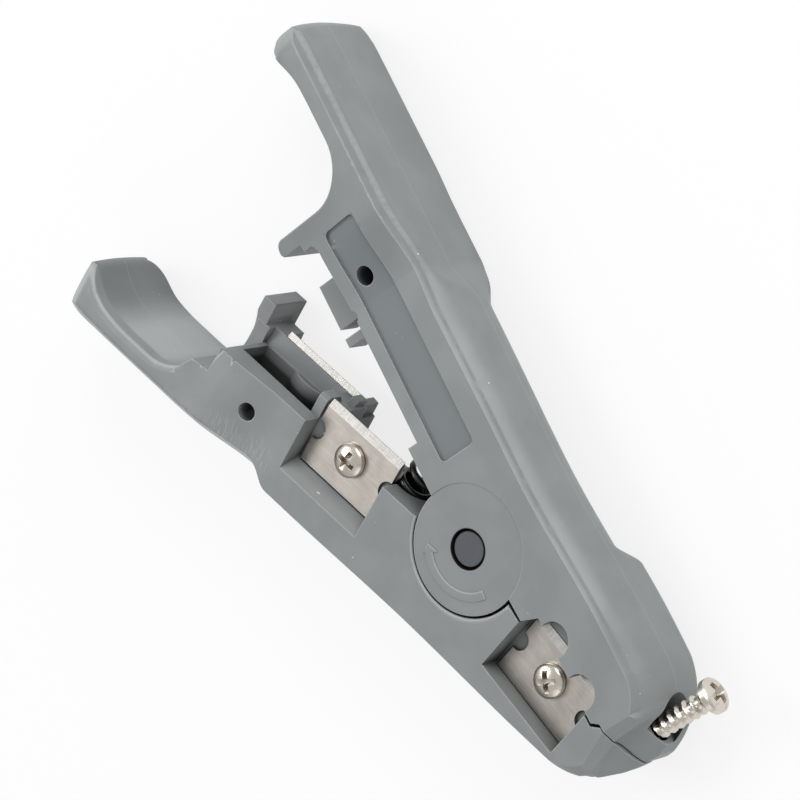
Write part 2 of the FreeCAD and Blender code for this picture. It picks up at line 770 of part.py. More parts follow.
def place(item, x, y, z, rotation):
    item.Placement = FreeCAD.Placement(Vector(), rotation)
    bind(item, Placement_Base_x=x, Placement_Base_y=y, Placement_Base_z=z)


def spun(label, steps):
    # solid of revolution about its own Z
    body, drawing = startBody(label, steps)
    turn = body.newObject("PartDesign::Revolution", body.Name + "Turn")
    turn.Profile = drawing
    turn.ReferenceAxis = (drawing, ["V_Axis"])
    turn.Angle = 360
    return body


def blade(label):
    # stamped blade with one bevelled long edge on +X, a half-round notch in each short end and a screw hole
    edge = "bladeWide / 2"
    body, drawing = startBody(label, [
        ("-(%s)" % edge, "0"),
        (edge, "0"),
        (edge, "bladeThick - bevelDeep"),
        (edge + " - bevelWide", "bladeThick"),
        ("-(%s)" % edge, "bladeThick"),
    ])
    pad = body.newObject("PartDesign::Pad", body.Name + "Pad")
    pad.Profile = drawing
    pad.Midplane = True
    bind(pad, Length="bladeLong")
    doc.recompute()
    holes = bodySketch(body, "XY_Plane")
    circle(holes, "0", "0", "bladeHole")
    circle(holes, "0", "bladeLong / 2", "bladeNotch")
    circle(holes, "0", "-bladeLong / 2", "bladeNotch")
    doc.recompute()
    pierce = body.newObject("PartDesign::Pocket", body.Name + "Pierce")
    pierce.Profile = holes
    pierce.Type = "ThroughAll"
    pierce.Midplane = True
    return body


def screw(label, long):
    # pan head resting on z = 0 with its shank below
    return spun(label, [
        ("0", "-(%s)" % long),
        ("shankRound - 0.3", "-(%s)" % long),
        ("shankRound", "0.5 - (%s)" % long),
        ("shankRound", "0"),
        ("headRound", "0"),
        ("headRound", "headHigh * 0.4"),
        ("0", "headHigh", "(headRound ^ 2 + (headHigh * 0.6) ^ 2) / (headHigh * 1.2)"),
    ])


flat = FreeCAD.Rotation(Vector(0, 0, 1), size("openAngle"))
tailFlat = FreeCAD.Rotation(Vector(0, 0, 1), size("openAngle - tailTilt"))
flipped = flat.multiply(FreeCAD.Rotation(Vector(1, 0, 0), 180))

frontAt = opened(frontX, "frontMiddle")
rearAt = opened(rearX, "rearMiddle")
tailAt = opened("tailMiddleX", "tailMiddleY")
frontBlade = blade("front_blade")
place(frontBlade, *frontAt, frontFloor, flat)
rearBlade = blade("rear_blade")
place(rearBlade, *rearAt, "cheekThick", flat)
tailBlade = blade("tail_blade")
place(tailBlade, *tailAt, frontFloor, tailFlat)
frontScrew = screw("front_blade_screw", "shankLong")
place(frontScrew, *frontAt, bladeTop, flat)
rearScrew = screw("rear_blade_screw", "rearShank + bladeThick")
place(rearScrew, *rearAt, "cheekThick", flipped)
tailScrew = screw("tail_blade_screw", "shankLong")
place(tailScrew, *tailAt, bladeTop, flat)

pinLong = "bodyThick - discSunk - pinSunk"
pivotPin = spun("pivot_pin", [
    ("0", "0"),
    ("pinRound", "0"),
    ("pinRound", pinLong + " - pinChamfer"),
    ("pinRound - pinChamfer", pinLong),
    ("0", pinLong),
])

adjuster = spun("adjusting_screw", [
    ("0", "0"),
    ("screwRound - 0.5", "0"),
    ("screwRound", "0.5"),
    ("screwRound", "screwLong"),
    ("screwHead", "screwLong"),
    ("screwHead", "screwLong + screwHeadHigh * 0.4"),
    ("0", "screwLong + screwHeadHigh", "(screwHead ^ 2 + (screwHeadHigh * 0.6) ^ 2) / (screwHeadHigh * 1.2)"),
])
place(adjuster, tailEdge + " + screwTip", "screwY", half, FreeCAD.Rotation(Vector(0, 1, 0), 90))

# return spring: round wire on a helix from pocket floor to seat
springLong = springRun.Length - 2 * size("wireRound") - 0.2
coil = Part.makeHelix(springLong / size("coilTurns"), springLong, size("coilRound"))
wire = Part.Wire(Part.Circle(Vector(size("coilRound"), 0, 0), Vector(0, 1, 0), size("wireRound")).toShape())
returnSpring = doc.addObject("Part::Feature", "ReturnSpring")
returnSpring.Shape = Part.Wire(coil.Edges).makePipeShell([wire], True, True)
returnSpring.Label = "return_spring"
springLie = FreeCAD.Rotation(Vector(0, 0, 1), springTurn).multiply(FreeCAD.Rotation(Vector(0, 1, 0), 90))
springStart = Vector(springEnd[0], springEnd[1], middle) + springRun.normalize() * (size("wireRound") + 0.1)
returnSpring.Placement = FreeCAD.Placement(springStart, springLie)

doc.recompute()
subParts = [longArm, bladeArm, pivotPin, returnSpring, frontBlade, rearBlade, tailBlade,
            frontScrew, rearScrew, tailScrew, adjuster]
for item in doc.Objects:
    if "Invalid" in item.State or "Error" in item.State:
        raise RuntimeError("%s failed: %s" % (item.Name, item.State))
for item in subParts:
    if item.Shape.isNull() or not item.Shape.isValid():
        raise RuntimeError("%s has no valid shape" % item.Label)
    print(item.Label, len(item.Shape.Solids), "solid", round(item.Shape.Volume, 2), "mm3")
os.makedirs("parts", exist_ok=True)
for item in subParts:
    item.Shape.exportStep("parts/%s.step" % item.Label)
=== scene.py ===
# Coaxial cable stripper: the finishes and the fine pieces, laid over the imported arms.
# Lengths in the settings are millimetres and angles are degrees. The scene itself is in metres.

import math

import bmesh
import bpy
from mathutils import Matrix, Vector
from mathutils.kdtree import KDTree


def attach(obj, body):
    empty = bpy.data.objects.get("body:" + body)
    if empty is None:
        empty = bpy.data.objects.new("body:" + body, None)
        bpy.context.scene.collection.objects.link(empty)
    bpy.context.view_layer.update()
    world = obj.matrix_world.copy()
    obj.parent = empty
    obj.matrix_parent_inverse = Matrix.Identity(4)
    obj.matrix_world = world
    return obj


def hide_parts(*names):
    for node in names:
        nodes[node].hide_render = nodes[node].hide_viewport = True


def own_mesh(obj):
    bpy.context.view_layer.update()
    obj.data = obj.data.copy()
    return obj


mm = 0.001
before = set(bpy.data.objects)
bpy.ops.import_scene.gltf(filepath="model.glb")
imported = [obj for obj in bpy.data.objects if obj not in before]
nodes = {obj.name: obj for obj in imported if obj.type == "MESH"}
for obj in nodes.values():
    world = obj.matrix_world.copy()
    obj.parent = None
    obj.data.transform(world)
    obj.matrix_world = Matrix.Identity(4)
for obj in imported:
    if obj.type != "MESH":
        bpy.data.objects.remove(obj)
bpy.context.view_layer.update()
print("frame loaded:", len(nodes), "pieces")


# ---- shader arithmetic ----
class Wire:
    # a node's output that can be added, multiplied and so on
    def __init__(self, finish, socket):
        self.finish = finish
        self.socket = socket

    def maths(self, operation, first, second=None):
        values = {0: first}
        if second is not None:
            values[1] = second
        return self.finish.node("Math", {"operation": operation}, values)

    def __add__(self, other):
        return self.maths("ADD", self, other)

    def __radd__(self, other):
        return self.maths("ADD", other, self)

    def __sub__(self, other):
        return self.maths("SUBTRACT", self, other)

    def __rsub__(self, other):
        return self.maths("SUBTRACT", other, self)

    def __mul__(self, other):
        return self.maths("MULTIPLY", self, other)

    def __rmul__(self, other):
        return self.maths("MULTIPLY", other, self)

    def __truediv__(self, other):
        return self.maths("DIVIDE", self, other)

    def __pow__(self, other):
        return self.maths("POWER", self, other)

    def size(self):
        return self.maths("ABSOLUTE", self)

    def wave(self):
        return self.maths("SINE", self)

    def most(self, other):
        return self.maths("MAXIMUM", self, other)

    def step(self, low, high):
        # 0 at low and 1 at high, eased between them
        return self.finish.node("MapRange", {"interpolation_type": "SMOOTHSTEP"},
                                {"Value": self, "From Min": low, "From Max": high})


class Finish:
    def __init__(self, name):
        self.material = bpy.data.materials.new(name)
        self.material.use_nodes = True
        self.tree = self.material.node_tree
        self.shader = self.tree.nodes["Principled BSDF"]
        self.output = self.tree.nodes["Material Output"]

    def join(self, socket, value):
        if isinstance(value, Wire):
            self.tree.links.new(value.socket, socket)
        else:
            socket.default_value = value

    def node(self, kind, settings, values, output=0):
        made = self.tree.nodes.new("ShaderNode" + kind)
        for name, setting in settings.items():
            if name == "stops":
                while len(made.color_ramp.elements) < len(setting):
                    made.color_ramp.elements.new(1)
                for element, (position, colour) in zip(made.color_ramp.elements, setting):
                    element.position = position
                    element.color = (*colour, 1)
            else:
                setattr(made, name, setting)
        for name, value in values.items():
            self.join(made.inputs[name], value)
        return Wire(self, made.outputs[output])

    def place(self):
        # where a point lies in the closed drawing's millimetres
        here = self.node("TexCoord", {}, {}, "Object")
        return self.node("VectorMath", {"operation": "SCALE"}, {0: here, "Scale": 1000})

    def parts(self, vector):
        return [self.node("SeparateXYZ", {}, {0: vector}, number) for number in range(3)]

    def turned(self, vector, centre, angle):
        # the same place seen from a piece that lies at centre, turned by angle
        return self.node("Mapping", {"vector_type": "TEXTURE"}, {
            "Vector": vector,
            "Location": (*centre, 0),
            "Rotation": (0, 0, math.radians(angle)),
        })

    def stretched(self, vector, scales):
        return self.node("VectorMath", {"operation": "MULTIPLY"}, {0: vector, 1: scales})

    def noise(self, vector, scale, detail=2, rough=0.5):
        return self.node("TexNoise", {}, {
            "Vector": vector, "Scale": scale, "Detail": detail, "Roughness": rough,
        })

    def blend(self, mask, first, second, mode="MIX"):
        return self.node("Mix", {"data_type": "RGBA", "blend_type": mode}, {0: mask, 6: first, 7: second}, 2)

    def edges(self, radius):
        # how far the rounded normal leans away from the face: high along corners
        rounded = self.node("Bevel", {"samples": 6}, {"Radius": radius * mm})
        facing = self.node("NewGeometry", {}, {}, "Normal")
        lean = self.node("VectorMath", {"operation": "DOT_PRODUCT"}, {0: rounded, 1: facing}, "Value")
        return rounded, 1 - lean

    def openness(self, reach):
        # 1 out in the open and near 0 deep in a recess
        return self.node("AmbientOcclusion", {"samples": 8}, {"Distance": reach * mm}, 1)

    def bump(self, height, strength, distance, normal=None):
        values = {"Height": height, "Strength": strength, "Distance": distance * mm}
        if normal is not None:
            values["Normal"] = normal
        return self.node("Bump", {}, values)

    def wear(self, settings):
        for name, value in settings.items():
            self.join(self.shader.inputs[name], value)
        return self.material


def colour(red, green, blue):
    # screen values from 0 to 255 to scene values
    def channel(value):
        value /= 255
        return value / 12.92 if value <= 0.04045 else ((value + 0.055) / 1.055) ** 2.4

    return (channel(red), channel(green), channel(blue), 1)


openTurn = 24.1


def opened(x, y):
    # a point of the closed blade arm, where it is with the arm swung open
    turn = math.radians(openTurn)
    return (x * math.cos(turn) - y * math.sin(turn), x * math.sin(turn) + y * math.cos(turn))


# ---- moulded grey plastic ----
plastic = {
    "grey": colour(131, 135, 135),
    "deepGrey": colour(125, 129, 129),
    # light grey for the painted highlight on edges and sloped faces, and for scuffs and the parting seam
    "highlightAndScuffGrey": colour(200, 205, 203),
    "panelGrey": colour(106, 112, 114),
    # painted highlight and painted shade for the finger scoop
    "scoopHighlightGrey": colour(190, 195, 197),
    "shadeGrey": colour(72, 75, 76),
    # painted shade for crevices, recesses and the blade pocket
    "creviceShadeGrey": colour(34, 36, 37),
    # how strongly each arm's sloping front faces get a painted highlight
    "slopeHighlight": {"long_arm": 0.2, "blade_arm": 0.4},
    "crevice": 3.5,
    "deep": 10,
    # painted shade in the gap round the pivot pin
    "pinGapShade": colour(26, 20, 15),
    "specks": colour(226, 228, 226),
    "edgeRadius": 0.35,
    "grain": 5.5,
    "roughness": 0.46,
    "speckScale": 1.15,
    "speckShare": 0.7,
    "partingLevel": 7.5,
    "panelSoft": 0.1,
    "panelShare": 0.8,
    "pinHole": (3.4, 3.28),
    "scuffTurn": 35,
    "scuffLevel": 15,
    "scuffs": {
        "long_arm": [(26.2, 50.7, 6), (25.8, 41.3, 5), (25, 32.1, 4)],
        "blade_arm": [(-32.4, 38.2, 5), (-29.1, 31.9, 5)],
    },
    "panel": (3.0, 10.1, 13.5, 54.3),
}
# where the finger scoop and the blade pocket lie on the blade arm, as eased steps along its own axes; the
# scoop gets painted light low down and painted shade towards the hook, and the pocket gets painted shade
scoopArea = {"along": (61, 66), "middle": 8.3, "half": (5.4, 4), "under": (15.4, 14.4), "pale": (80, 71),
             "dark": (72, 80), "paleShare": 0.42, "darkShare": 0.35}
pocketArea = {"low": (37, 38.5), "high": (55.5, 54), "middle": 8.3, "half": (4.2, 3.4), "depth": (14.6, 7),
              "share": 0.8}


def mouldedPlastic(node):
    finish = Finish(node + "_plastic")
    at = finish.place()
    x, y, z = finish.parts(at)
    cloud = finish.noise(at, 0.12, 3)
    fine = finish.noise(at, plastic["grain"], 3, 0.65)
    rounded, lean = finish.edges(plastic["edgeRadius"])
    openly = finish.openness(plastic["crevice"])
    # open rounded edges, where a painted highlight goes
    edge = lean.step(0.02, 0.16) * openly.step(0.5, 0.8)
    grey = finish.blend(cloud.step(0.35, 0.65), plastic["deepGrey"], plastic["grey"])
    shine = plastic["roughness"] + (fine - 0.5) * 0.12
    height = fine * 0.5 + cloud * 0.5
    if node == "long_arm":
        left, right, low, high = plastic["panel"]
        soft = plastic["panelSoft"]
        across = (x - (left + right) / 2).size().step((right - left) / 2 + soft, (right - left) / 2 - soft)
        along = (y - (low + high) / 2).size().step((high - low) / 2 + soft, (high - low) / 2 - soft)
        panel = across * along * z.step(13, 13.6)
        grey = finish.blend(panel * plastic["panelShare"], grey, plastic["panelGrey"])
    if node == "blade_arm":
        bx, by, bz = finish.parts(finish.turned(at, (0, 0), openTurn))
        scoop = by.step(*scoopArea["along"]) * (bx + scoopArea["middle"]).size().step(*scoopArea["half"])
        scoop = scoop * bz.step(*scoopArea["under"])
        # painted shade in the blade pocket round the disc
        pocket = by.step(*pocketArea["low"]) * by.step(*pocketArea["high"])
        pocket = pocket * (bx + pocketArea["middle"]).size().step(*pocketArea["half"])
        pocket = pocket * bz.step(*pocketArea["depth"])
        # painted light on the scoop's lower part and painted shade towards the curled hook
        pale = scoop * by.step(*scoopArea["pale"]) * scoopArea["paleShare"]
        dark = scoop * by.step(*scoopArea["dark"]) * scoopArea["darkShare"]
        grey = finish.blend(pocket * pocketArea["share"], grey, plastic["creviceShadeGrey"])
        grey = finish.blend(pale, grey, plastic["scoopHighlightGrey"])
        grey = finish.blend(dark, grey, plastic["shadeGrey"])
    seam = (z - plastic["partingLevel"]).size().step(0.16, 0.02)
    for centreX, centreY, reach in plastic["scuffs"][node]:
        spot = (centreX, centreY, plastic["scuffLevel"])
        away = finish.node("VectorMath", {"operation": "DISTANCE"}, {0: at, 1: spot}, "Value")
        drawn = finish.stretched(finish.turned(at, (centreX, centreY), plastic["scuffTurn"]), (0.25, 3.2, 1))
        scratch = finish.noise(drawn, 1.6, 4)
        mark = away.step(reach, 0) * scratch.step(0.52, 0.62)
        grey = finish.blend(mark * 0.35, grey, plastic["highlightAndScuffGrey"])
        shine = shine - mark * 0.12
    # painted highlight on front faces that slope away from the flat, where rounded edges catch the light
    facing = finish.parts(finish.node("NewGeometry", {}, {}, "Normal"))[2]
    slopeHighlight = facing.step(0.3, 0.6) * facing.step(0.95, 0.8) * z.step(12, 14) * y.step(-26, -16)
    grey = finish.blend(slopeHighlight * plastic["slopeHighlight"][node], grey, plastic["highlightAndScuffGrey"])
    # painted highlight along open rounded edges, partly edge wear, with a light parting seam line
    grey = finish.blend(edge * 0.6 + seam * 0.12, grey, plastic["highlightAndScuffGrey"])
    # painted shade in crevices and in deep recesses
    deep = finish.openness(plastic["deep"])
    grey = finish.blend(openly.step(0.55, 0.1) * 0.6, grey, plastic["creviceShadeGrey"])
    grey = finish.blend(deep.step(0.58, 0.15) * 0.85, grey, plastic["creviceShadeGrey"])
    speck = finish.noise(at, plastic["speckScale"], 1).step(0.8, 0.83)
    grey = finish.blend(speck * plastic["speckShare"], grey, plastic["specks"])
    # painted shade in the gap round the pivot pin
    fromPin = (x * x + y * y) ** 0.5
    grey = finish.blend(fromPin.step(*plastic["pinHole"]), grey, plastic["pinGapShade"])
    return finish.wear({
        "Base Color": grey,
        "Roughness": shine,
        "Normal": finish.bump(height + seam * 0.6, 0.35, 0.05, rounded),
        "Specular IOR Level": 0.45,
    })


# ---- stamped blades ----
steel = {
    "face": colour(200, 194, 187),
    "dull": colour(174, 168, 160),
    "bevel": colour(212, 210, 206),
    "bevelDark": colour(188, 185, 180),
    "shade": colour(60, 54, 48),
    "spot": colour(120, 112, 104),
    "roughness": 0.36,
    "width": 11.8,
    "bevelWide": 1.3,
    "blades": {
        "front_blade": (opened(-4.2, 27.1), openTurn),
        "rear_blade": (opened(-4.7, 44.2), openTurn),
        "tail_blade": (opened(-8.9, -21.9), openTurn - 10.1),
    },
}


def brushedSteel(node):
    finish = Finish(node + "_steel")
    centre, turn = steel["blades"][node]
    at = finish.turned(finish.place(), centre, turn)
    x, y, z = finish.parts(at)
    brushed = finish.noise(finish.stretched(at, (9, 0.22, 1)), 1, 4, 0.7)
    ground = finish.noise(finish.stretched(at, (0.3, 15, 1)), 1, 3, 0.6)
    cloud = finish.noise(at, 0.35, 3)
    spots = finish.noise(at, 2.4, 3).step(0.72, 0.76)
    bevelEdge = steel["width"] / 2 - steel["bevelWide"]
    bevel = x.step(bevelEdge - 0.03, bevelEdge + 0.03)
    worn = brushed.step(0.3, 0.7) * 0.6 + cloud.step(0.4, 0.7) * 0.4
    tone = finish.blend(worn, steel["dull"], steel["face"])
    tone = finish.blend(spots * 0.5, tone, steel["spot"])
    lines = finish.blend(ground.step(0.4, 0.6), steel["bevelDark"], steel["bevel"])
    tone = finish.blend(bevel, tone, lines)
    tone = finish.blend(finish.openness(1.3).step(0.7, 0.25) * 0.8, tone, steel["shade"])
    height = brushed * (1 - bevel) + ground * bevel
    return finish.wear({
        "Base Color": tone,
        "Metallic": 1,
        "Roughness": steel["roughness"] + (brushed - 0.5) * 0.25 - bevel * 0.06,
        "Normal": finish.bump(height, 0.3, 0.02, finish.edges(0.08)[0]),
    })


# ---- nickel screws ----
nickel = {
    "bright": colour(214, 207, 197),
    "stain": colour(150, 122, 88),
    # painted shade colour for recesses and for the gaps under the heads
    "recess": colour(70, 55, 42),
    # painted shade for the adjusting screw's end that lies deep in its well
    "wellShade": colour(48, 46, 44),
    "roughness": 0.26,
}


def nickelPlate():
    finish = Finish("nickel_plate")
    at = finish.place()
    x, y, z = finish.parts(at)
    cloud = finish.noise(at, 1.1, 4)
    fine = finish.noise(at, 9, 3)
    stain = cloud.step(0.56, 0.74)
    tone = finish.blend(stain * 0.4, nickel["bright"], nickel["stain"])
    # painted shade near recesses and under the heads
    tone = finish.blend(finish.openness(1.2).step(0.6, 0.2) * 0.6, tone, nickel["recess"])
    # painted shade on the adjusting screw's thread where it lies deep in its well
    inside = y.step(-33, -34) * x.step(13, 11)
    tone = finish.blend(inside * 0.85, tone, nickel["wellShade"])
    return finish.wear({
        "Base Color": tone,
        "Metallic": 1,
        "Roughness": nickel["roughness"] + (fine - 0.5) * 0.1 + stain * 0.12,
        "Normal": finish.bump(fine + cloud, 0.18, 0.05, finish.edges(0.1)[0]),
    })


# the cross recess's faces: painted shade, with brighter patches
def shadedRecess():
    finish = Finish("shaded_recess")
    at = finish.place()
    cloud = finish.noise(at, 2.2, 4)
    tone = finish.blend(cloud.step(0.46, 0.7) * 0.7, nickel["recess"], nickel["bright"])
    return finish.wear({
        "Base Color": tone,
        "Metallic": 0.9,
        "Roughness": 0.3 + cloud * 0.2,
        "Normal": finish.bump(cloud, 0.4, 0.08),
    })


# ---- black spring wire and dark pin ----
def blackWire():
    finish = Finish("black_wire")
    at = finish.place()
    fine = finish.noise(at, 6, 3)
    tone = finish.blend(fine.step(0.5, 0.8), colour(20, 20, 22), colour(48, 48, 50))
    return finish.wear({
        "Base Color": tone,
        "Roughness": 0.26 + (fine - 0.5) * 0.15,
        "Normal": finish.bump(fine, 0.2, 0.03),
    })


pin = {
    "face": colour(84, 87, 92),
    # painted shade on the chamfered rim, where the pin sinks below the disc
    "rim": colour(24, 18, 14),
    "rimInner": 2.72,
}


def darkPin():
    finish = Finish("dark_pin_steel")
    at = finish.place()
    x, y, z = finish.parts(at)
    radius = (x * x + y * y) ** 0.5
    fine = finish.noise(at, 5, 3)
    rings = (radius * 26 + fine * 3).wave()
    # painted shade on the pin's chamfered rim, sunk below the disc
    rim = radius.step(pin["rimInner"] - 0.04, pin["rimInner"] + 0.04)
    tone = finish.blend(fine.step(0.35, 0.7) * 0.4, pin["face"], colour(64, 66, 70))
    tone = finish.blend(rim, tone, pin["rim"])
    return finish.wear({
        "Base Color": tone,
        "Metallic": 0.35,
        "Roughness": 0.42 + rings * 0.04,
        "Normal": finish.bump(rings * 0.2 + fine, 0.2, 0.03, finish.edges(0.12)[0]),
    })


def dress(node, material):
    nodes[node].data.materials.clear()
    nodes[node].data.materials.append(material)


armFinish = {armName: mouldedPlastic(armName) for armName in ("long_arm", "blade_arm")}
for bladeName in steel["blades"]:
    dress(bladeName, brushedSteel(bladeName))
dress("pivot_pin", darkPin())
nickelFinish = nickelPlate()
recessFinish = shadedRecess()
wireFinish = blackWire()
print("finishes ready")


# ---- fine pieces ----
def shaped(name, mesh, body, materials, smooth=32):
    piece = bpy.data.objects.new(name, mesh)
    bpy.context.scene.collection.objects.link(piece)
    for material in materials:
        mesh.materials.append(material)
    mesh.shade_smooth()
    mesh.set_sharp_from_angle(angle=math.radians(smooth))
    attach(piece, body)
    return piece


def ringSpot(radius, turn, height):
    return (radius * mm * math.cos(turn), radius * mm * math.sin(turn), height * mm)


def spun(profile, around):
    # closed mesh of a profile of (radius, height) turned about Z
    shape = bmesh.new()
    rings = []
    for radius, height in profile:
        if radius < 1e-6:
            rings.append([shape.verts.new((0, 0, height * mm))])
            continue
        ring = []
        for step in range(around):
            turn = 2 * math.pi * step / around
            ring.append(shape.verts.new(ringSpot(radius, turn, height)))
        rings.append(ring)
    stitch(shape, rings, around)
    return shape


def stitch(shape, rings, around):
    for lower, upper in zip(rings, rings[1:]):
        for step in range(around):
            following = (step + 1) % around
            corners = [lower[step % len(lower)], lower[following % len(lower)],
                       upper[following % len(upper)], upper[step % len(upper)]]
            unique = list(dict.fromkeys(corners))
            if len(unique) > 2:
                shape.faces.new(unique)
    for ring in (rings[0], rings[-1]):
        if len(ring) > 2:
            shape.faces.new(ring)
    bmesh.ops.recalc_face_normals(shape, faces=shape.faces[:])


def dome(radius, base, top, steps=10):
    # profile of a round-topped head from its side up to its crown
    high = top - base
    sphere = (radius ** 2 + high ** 2) / (2 * high)
    widest = math.asin(min(1, radius / sphere))
    points = []
    for step in range(steps + 1):
        angle = widest * (1 - step / steps)
        points.append((sphere * math.sin(angle), top - sphere + sphere * math.cos(angle)))
    points[-1] = (0, top)
    return points


def crossCutter(reach, wide, depth, top):
    # tapered four-armed driver point
    shape = bmesh.new()
    for turn in (0, 90):
        corners = []
        ends = ((top + 0.3, reach * 1.15, wide * 1.15), (top - depth, reach * 0.5, wide * 0.55))
        for height, long, half in ends:
            for x, y in ((-long, -half), (long, -half), (long, half), (-long, half)):
                spot = Matrix.Rotation(math.radians(turn), 3, "Z") @ Vector((x, y, height))
                corners.append(shape.verts.new(spot * mm))
        low, high = corners[4:], corners[:4]
        shape.faces.new(low)
        shape.faces.new(high)
        for step in range(4):
            following = (step + 1) % 4
            shape.faces.new((low[step], low[following], high[following], high[step]))
    bmesh.ops.recalc_face_normals(shape, faces=shape.faces[:])
    return shape


def toMesh(shape, name):
    mesh = bpy.data.meshes.new(name)
    shape.to_mesh(mesh)
    shape.free()
    return mesh


def combined(first, second, operation):
    # two closed shapes cut from or joined to each other; the second's faces keep finish number 1
    base = bpy.data.objects.new("firstShape", toMesh(first, "firstShape"))
    tool = bpy.data.objects.new("secondShape", toMesh(second, "secondShape"))
    for item, number in ((base, 0), (tool, 1)):
        bpy.context.scene.collection.objects.link(item)
        item.data.materials.append(nickelFinish)
        item.data.materials.append(recessFinish)
        for face in item.data.polygons:
            face.material_index = number
    carve = base.modifiers.new("carve", "BOOLEAN")
    carve.object = tool
    carve.operation = operation
    carve.solver = "EXACT"
    carve.use_self = operation == "DIFFERENCE"
    bpy.context.view_layer.update()
    result = bpy.data.meshes.new_from_object(base.evaluated_get(bpy.context.evaluated_depsgraph_get()))
    result.materials.clear()
    bpy.data.objects.remove(base)
    bpy.data.objects.remove(tool)
    return result


def threaded(root, crest, pitch, start, end, around=40, perTurn=12):
    # round bar with one helical ridge, fading out at both ends
    shape = bmesh.new()
    count = int((end - start) / pitch * perTurn)
    rings = []
    for step in range(count + 1):
        height = start + (end - start) * step / count
        fade = min(1, (height - start) / pitch, (end - height) / (pitch * 0.6))
        ring = []
        for spoke in range(around):
            share = ((height - start) / pitch - spoke / around) % 1
            ridge = max(0, 1 - abs(share - 0.5) / 0.27)
            radius = root + (crest - root) * ridge * max(0, fade)
            turn = 2 * math.pi * spoke / around
            ring.append(shape.verts.new(ringSpot(radius, turn, height)))
        rings.append(ring)
    stitch(shape, rings, around)
    return shape


arms = {
    "long_arm": {
        "body": "long_side", "turn": 0, "side": 1, "top": 85.3, "hook": 0.5, "hookRear": 0, "lower": 0.2,
        "front": 0, "rear": 0.3, "dome": 1.3, "crestFront": 0.1, "crestRear": 0.1,
    },
    "blade_arm": {
        "body": "blade_side", "turn": openTurn, "side": -1, "top": 87.0, "hook": 2.3, "hookRear": 0.5,
        "lower": 1.1, "front": 0.25, "rear": 0.2, "dome": 0.9, "crestFront": 0.12, "crestRear": 0.38,
    },
}
disc = {"round": 10.4, "from": -7.6, "layers": ((0, 3.3), (11.7, 14.85)), "pocket": 10.75, "lip": 0.75}
rim = {"wide": 1.1, "low": 60.2, "inner": 3.95, "outer": 12.6}


def eased(low, high, at):
    share = min(1, max(0, (at - low) / (high - low)))
    return share * share * (3 - 2 * share)


def rounding(share):
    # how far a quarter circle has fallen away at a share of its reach
    return 1 - math.sqrt(max(0, 1 - share ** 2))


def discSides():
    # what completes the round of the long arm's two discs on the blade arm's side
    shape = bmesh.new()
    reach = math.acos(-disc["from"] / disc["round"])
    for low, high in disc["layers"]:
        outline = []
        for step in range(49):
            angle = math.pi - reach + 2 * reach * step / 48
            outline.append((disc["round"] * math.cos(angle), disc["round"] * math.sin(angle)))
        rings = [[shape.verts.new((x * mm, y * mm, z * mm)) for x, y in outline] for z in (low, high)]
        stitch(shape, rings, len(outline))
    return shape


def armShape(name):
    shape = bmesh.new()
    shape.from_mesh(nodes[name].data)
    bmesh.ops.remove_doubles(shape, verts=shape.verts, dist=0.002 * mm)
    if name == "long_arm":
        mesh = combined(shape, discSides(), "UNION")
        shape = bmesh.new()
        shape.from_mesh(mesh)
    for face in shape.faces:
        face.material_index = 0
    return shape


def softRims(shape):
    # rounds the edges of the finger scoop, and of the pocket round the disc
    bmesh.ops.dissolve_limit(shape, angle_limit=math.radians(0.4), verts=shape.verts, edges=shape.edges)
    scoop, pocket = [], []
    for edge in shape.edges:
        if len(edge.link_faces) != 2:
            continue
        middle = (edge.verts[0].co + edge.verts[1].co) / 2
        flat = sorted(abs(face.normal.z) for face in edge.link_faces)
        if flat[0] < 0.3 and flat[1] > 0.8:
            if middle.y > rim["low"] and rim["inner"] < middle.x < rim["outer"]:
                scoop.append(edge)
            elif abs(middle.z - 15) < 0.01 and abs(math.hypot(middle.x, middle.y) - disc["pocket"]) < 0.06:
                pocket.append(edge)
    print("rim edges:", len(scoop), len(pocket))
    bmesh.ops.bevel(shape, geom=scoop, offset=rim["wide"], segments=4, profile=0.5, affect="EDGES")
    bmesh.ops.bevel(shape, geom=[edge for edge in pocket if edge.is_valid], offset=disc["lip"], segments=4,
                    profile=0.5, affect="EDGES")


def softEnd(shape, arm):
    # the grip's end: a deeper hook, fuller sides and rounder corners
    for axis, low, high, gap in ((1, 52, arm["top"], 1.5), (2, -2, 17.2, 1.2), (0, 8.5, 15.6, 0.8)):
        for step in range(int((high - low) / gap) + 1):
            level = Vector((0, 0, 0))
            level[axis] = low + gap * step
            across = Vector((0, 0, 0))
            across[axis] = 1
            near = [face for face in shape.faces if face.calc_center_median().y > 50]
            edges = list({edge for face in near for edge in face.edges})
            corners = list({corner for face in near for corner in face.verts})
            bmesh.ops.bisect_plane(shape, geom=near + edges + corners, plane_co=level, plane_no=across,
                                   dist=0.001)
    for corner in shape.verts:
        out, along, level = corner.co
        if along < 50:
            continue
        inner = min(1, max(0, (15.7 - out) / 5.5))
        outer = eased(11, 14.6, out) * eased(50, 58, along)
        hook = arm["hook"] - arm["hookRear"] * min(1, max(0, (17.5 - level) / 20))
        fall = arm["crestFront"] if level > 7.5 else arm["crestRear"]
        out -= hook * eased(72, arm["top"] - 2, along) * inner
        out += outer * (arm["front"] * eased(12, 17.5, level) + arm["rear"] * eased(3, -2.5, level))
        tip = eased(arm["top"] - 12, arm["top"], along)
        crest = min(1, max(0, (12 - out) / (1.8 + arm["hook"]))) * eased(72, 79, along)
        left = min(1, max(0, 1 - (arm["top"] - along) / 6))
        level = 7.5 + (level - 7.5) * (1 - 0.16 * rounding(left) - fall * rounding(crest))
        along += tip * (arm["dome"] * (1 - ((level - 7.5) / 10) ** 2) - arm["lower"])
        corner.co = (out - max(0, out - 12) * 0.4 * rounding(left), along, level)


